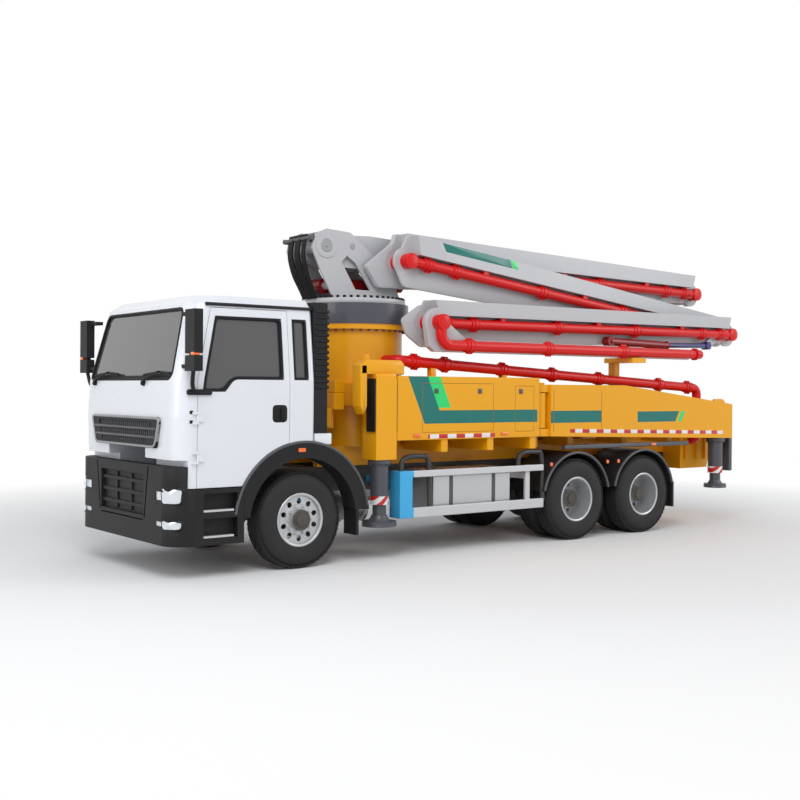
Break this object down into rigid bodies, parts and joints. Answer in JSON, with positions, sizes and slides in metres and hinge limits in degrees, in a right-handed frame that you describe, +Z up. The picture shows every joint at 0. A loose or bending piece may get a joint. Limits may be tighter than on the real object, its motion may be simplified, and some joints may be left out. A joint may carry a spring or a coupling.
{
  "type": "concrete pump truck",
  "caption": "Three-axle cab-over truck with a concrete pump, rear hopper, swing-out legs and a folded multi-section placing boom with red delivery pipes.",
  "frame": {"origin": "on the ground under the middle of the truck's overall box", "axes": "+X forward, +Y to the left, +Z up"},
  "size_m": [9.87, 3, 3.9548],
  "materials": {
    "white_paint": "gloss",
    "yellow_paint": "gloss",
    "boom_grey": "semi-gloss",
    "pipe_red": "gloss",
    "chassis_black": "semi-gloss",
    "black_plastic": "satin",
    "tyre_rubber": "matte",
    "wheel_silver": "metallic",
    "tinted_glass": "polished",
    "lamp_lens": "clear",
    "tank_metal": "polished",
    "leg_grey": "semi-gloss",
    "cast_metal": "rough",
    "rod_steel": "polished",
    "cylinder_red": "gloss",
    "seat_grey": "matte"
  },
  "bodies": {
    "chassis": {"chassis_frame": "chassis_black", "engine": "cast_metal", "axles": "cast_metal", "leaf_springs": "chassis_black", "cab": "white_paint", "cab_glass": "tinted_glass", "cab_interior": "seat_grey", "grille": "black_plastic", "bumper": "black_plastic", "headlamps": "lamp_lens", "mirrors": "black_plastic", "mudguards": "black_plastic", "air_intake": "black_plastic", "tanks": "tank_metal", "side_guards": "tank_metal", "subframe": "yellow_paint", "deck_boxes": "yellow_paint", "pedestal": "yellow_paint", "pump": "yellow_paint", "deck_pipe": "pipe_red"},
    "turret": {"turret": "boom_grey"},
    "boom_1": {"boom_1": "boom_grey", "pipe_1": "pipe_red"},
    "boom_2": {"boom_2": "boom_grey", "pipe_2": "pipe_red"},
    "boom_3": {"boom_3": "boom_grey", "pipe_3": "pipe_red"},
    "boom_4": {"boom_4": "boom_grey", "pipe_4": "pipe_red"},
    "boom_5": {"boom_5": "boom_grey", "pipe_5": "pipe_red"},
    "lift_barrel": {"lift_barrel": "cylinder_red"},
    "lift_rod": {"lift_rod": "rod_steel"},
    "grate": {"grate": "chassis_black"},
    "knuckle_left": {"knuckle_left": "cast_metal"},
    "wheel_front_left": {"tyre_front_left": "tyre_rubber", "wheel_front_left": "wheel_silver"},
    "wheel_rear_1_left": {"tyre_rear_1_left": "tyre_rubber", "wheel_rear_1_left": "wheel_silver"},
    "wheel_rear_2_left": {"tyre_rear_2_left": "tyre_rubber", "wheel_rear_2_left": "wheel_silver"},
    "door_left": {"door_left": "white_paint", "door_glass_left": "tinted_glass"},
    "front_beam_left": {"front_beam_left": "yellow_paint"},
    "front_leg_left": {"front_leg_left": "leg_grey"},
    "rear_arm_left": {"rear_arm_left": "yellow_paint"},
    "rear_leg_left": {"rear_leg_left": "leg_grey"},
    "knuckle_right": {"knuckle_right": "cast_metal"},
    "wheel_front_right": {"tyre_front_right": "tyre_rubber", "wheel_front_right": "wheel_silver"},
    "wheel_rear_1_right": {"tyre_rear_1_right": "tyre_rubber", "wheel_rear_1_right": "wheel_silver"},
    "wheel_rear_2_right": {"tyre_rear_2_right": "tyre_rubber", "wheel_rear_2_right": "wheel_silver"},
    "door_right": {"door_right": "white_paint", "door_glass_right": "tinted_glass"},
    "front_beam_right": {"front_beam_right": "yellow_paint"},
    "front_leg_right": {"front_leg_right": "leg_grey"},
    "rear_arm_right": {"rear_arm_right": "yellow_paint"},
    "rear_leg_right": {"rear_leg_right": "leg_grey"}
  },
  "joints": [
    {"name": "slew", "type": "hinge", "parent": "chassis", "child": "turret", "pos_m": [1.825, 0, 3.05], "axis": [0, 0, 1], "range_deg": [-60, 110]},
    {"name": "boom_1_lift", "type": "hinge", "parent": "turret", "child": "boom_1", "pos_m": [2.445, 0, 3.745], "axis": [0, 1, 0], "range_deg": [0, 90]},
    {"name": "boom_2_fold", "type": "hinge", "parent": "boom_1", "child": "boom_2", "pos_m": [-4.365, 0.44, 3.51], "axis": [0, -1, 0], "range_deg": [0, 180]},
    {"name": "boom_3_fold", "type": "hinge", "parent": "boom_2", "child": "boom_3", "pos_m": [1.465, 0.64, 3.59], "axis": [0, 1, 0], "range_deg": [0, 180]},
    {"name": "boom_4_fold", "type": "hinge", "parent": "boom_3", "child": "boom_4", "pos_m": [-4.755, 0.84, 2.88], "axis": [0, -1, 0], "range_deg": [0, 180]},
    {"name": "boom_5_fold", "type": "hinge", "parent": "boom_4", "child": "boom_5", "pos_m": [1.305, 1, 2.82], "axis": [0, 1, 0], "range_deg": [0, 180]},
    {"name": "lift_barrel_swing", "type": "hinge", "parent": "turret", "child": "lift_barrel", "pos_m": [2.335, 0, 3.27], "axis": [0, 1, 0], "range_deg": [0, 81]},
    {"name": "lift_rod_stroke", "type": "slide", "parent": "lift_barrel", "child": "lift_rod", "axis": [-0.9983, 0, 0.0589], "range_m": [0, 0.607]},
    {"name": "steer_left", "type": "hinge", "parent": "chassis", "child": "knuckle_left", "pos_m": [3.335, 0.85, 0.542], "axis": [0, 0, 1], "range_deg": [-40, 40]},
    {"name": "wheel_front_left_spin", "type": "hinge", "parent": "knuckle_left", "child": "wheel_front_left", "pos_m": [3.335, 1.02, 0.542], "axis": [0, 1, 0], "continuous": true},
    {"name": "wheel_rear_1_left_spin", "type": "hinge", "parent": "chassis", "child": "wheel_rear_1_left", "pos_m": [-0.99, 0.915, 0.542], "axis": [0, 1, 0], "continuous": true},
    {"name": "wheel_rear_2_left_spin", "type": "hinge", "parent": "chassis", "child": "wheel_rear_2_left", "pos_m": [-2.34, 0.915, 0.542], "axis": [0, 1, 0], "continuous": true},
    {"name": "door_left_open", "type": "hinge", "parent": "chassis", "child": "door_left", "pos_m": [4.655, 1.262, 1.48], "axis": [0, 0, -1], "range_deg": [0, 70]},
    {"name": "front_beam_left_out", "type": "hinge", "parent": "chassis", "child": "front_beam_left", "pos_m": [5.395, 1.08, 1.9], "axis": [0, 0, -1], "range_deg": [0, 28]},
    {"name": "front_leg_left_down", "type": "slide", "parent": "front_beam_left", "child": "front_leg_left", "axis": [0, 0, -1], "range_m": [0, 0.51]},
    {"name": "rear_arm_left_out", "type": "hinge", "parent": "chassis", "child": "rear_arm_left", "pos_m": [-0.415, 1.075, 1.73], "axis": [0, 0, -1], "range_deg": [0, 70]},
    {"name": "rear_leg_left_down", "type": "slide", "parent": "rear_arm_left", "child": "rear_leg_left", "axis": [0, 0, -1], "range_m": [0, 0.66]},
    {"name": "steer_right", "type": "hinge", "parent": "chassis", "child": "knuckle_right", "pos_m": [3.335, -0.85, 0.542], "axis": [0, 0, 1], "range_deg": [-40, 40]},
    {"name": "wheel_front_right_spin", "type": "hinge", "parent": "knuckle_right", "child": "wheel_front_right", "pos_m": [3.335, -1.02, 0.542], "axis": [0, 1, 0], "continuous": true},
    {"name": "wheel_rear_1_right_spin", "type": "hinge", "parent": "chassis", "child": "wheel_rear_1_right", "pos_m": [-0.99, -0.915, 0.542], "axis": [0, 1, 0], "continuous": true},
    {"name": "wheel_rear_2_right_spin", "type": "hinge", "parent": "chassis", "child": "wheel_rear_2_right", "pos_m": [-2.34, -0.915, 0.542], "axis": [0, 1, 0], "continuous": true},
    {"name": "door_right_open", "type": "hinge", "parent": "chassis", "child": "door_right", "pos_m": [4.655, -1.262, 1.48], "axis": [0, 0, 1], "range_deg": [0, 70]},
    {"name": "front_beam_right_out", "type": "hinge", "parent": "chassis", "child": "front_beam_right", "pos_m": [5.395, -1.08, 1.9], "axis": [0, 0, 1], "range_deg": [0, 28]},
    {"name": "front_leg_right_down", "type": "slide", "parent": "front_beam_right", "child": "front_leg_right", "axis": [0, 0, -1], "range_m": [0, 0.51]},
    {"name": "rear_arm_right_out", "type": "hinge", "parent": "chassis", "child": "rear_arm_right", "pos_m": [-0.415, -1.075, 1.73], "axis": [0, 0, 1], "range_deg": [0, 70]},
    {"name": "rear_leg_right_down", "type": "slide", "parent": "rear_arm_right", "child": "rear_leg_right", "axis": [0, 0, -1], "range_m": [0, 0.66]},
    {"name": "grate_open", "type": "hinge", "parent": "chassis", "child": "grate", "pos_m": [-3.737, 0, 1.74], "axis": [0, 1, 0], "range_deg": [0, 90]}
  ],
  "couplings": [
    {"joint": "steer_right", "follows": "steer_left", "ratio": 1},
    {"joint": "lift_barrel_swing", "follows": "boom_1_lift", "ratio": 0.9},
    {"joint": "lift_rod_stroke", "follows": "boom_1_lift", "m_per_rad": 0.38643}
  ]
}
